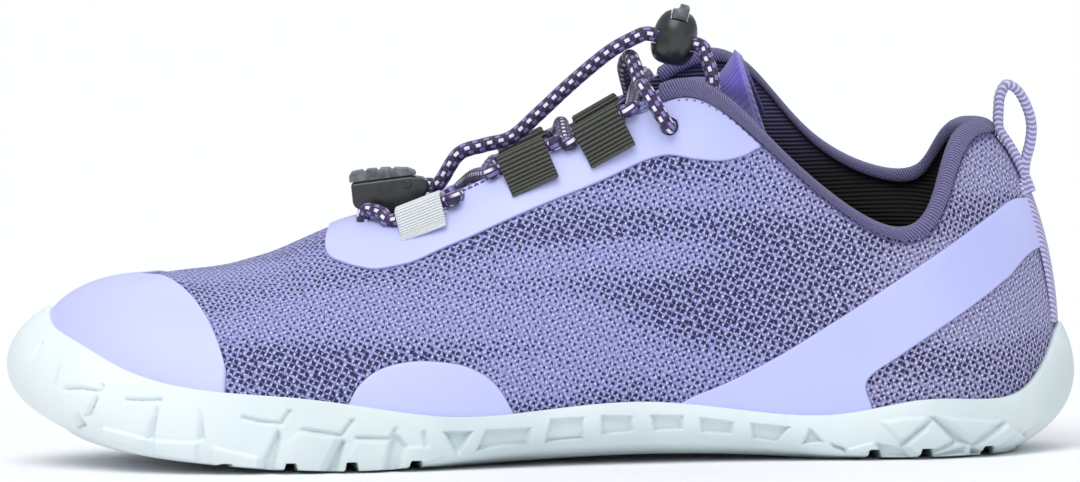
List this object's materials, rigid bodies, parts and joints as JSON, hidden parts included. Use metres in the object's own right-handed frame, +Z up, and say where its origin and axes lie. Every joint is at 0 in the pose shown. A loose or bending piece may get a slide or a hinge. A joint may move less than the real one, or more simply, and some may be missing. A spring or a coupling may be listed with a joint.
{
  "type": "barefoot shoe",
  "caption": "Low knit running shoe for the left foot with a thin cupped rubber sole, bonded overlays and an elastic lace with a cord lock.",
  "frame": {"origin": "middle of the shoe's length and width, on the floor under its sole", "axes": "+Z up, +X towards the heel, +Y towards the inner (medial) side of the foot"},
  "size_m": [0.2638, 0.0976, 0.1127],
  "materials": {
    "upper_knit": "engineered mesh knit",
    "overlay_film": "soft bonded film",
    "sole_rubber": "satin moulded rubber",
    "insole_foam": "brushed fabric on foam",
    "tongue_knit": "satin knit",
    "binding_knit": "ribbed knit tape",
    "black_webbing": "ribbed webbing",
    "white_webbing": "ribbed webbing",
    "lace": "braided elastic cord",
    "black_plastic": "moulded, satin",
    "grey_plastic": "moulded, satin"
  },
  "bodies": {
    "root": {"back_tape": "overlay_film", "clip_lever": "grey_plastic", "collar_binding": "binding_knit", "end_clip": "black_plastic", "eyestay": "overlay_film", "heel_band_lateral": "overlay_film", "heel_band_medial": "overlay_film", "insole": "insole_foam", "lace_crossing_1": "lace", "lace_crossing_2": "lace", "lace_end_lateral": "lace", "lace_end_medial": "lace", "lace_loop_1_lateral": "white_webbing", "lace_loop_1_medial": "white_webbing", "lace_loop_2_lateral": "black_webbing", "lace_loop_2_medial": "black_webbing", "lace_loop_3_lateral": "black_webbing", "lace_loop_3_medial": "black_webbing", "lace_slack": "lace", "lace_start_lateral": "lace", "lace_start_medial": "lace", "lace_top_strand": "lace", "pull_loop": "overlay_film", "side_panel_lateral": "overlay_film", "side_panel_medial": "overlay_film", "sole": "sole_rubber", "toe_cap": "overlay_film", "toggle_body": "black_plastic", "tongue": "tongue_knit", "upper": "upper_knit"},
    "button": {"toggle_button": "black_plastic"}
  },
  "joints": [
    {"name": "button_press", "type": "slide", "parent": "root", "child": "button", "axis": [-0.2419, 0, -0.9703], "range_m": [0, 0.0016], "stiffness_N_per_m": 1200, "springref_m": -0.001}
  ]
}
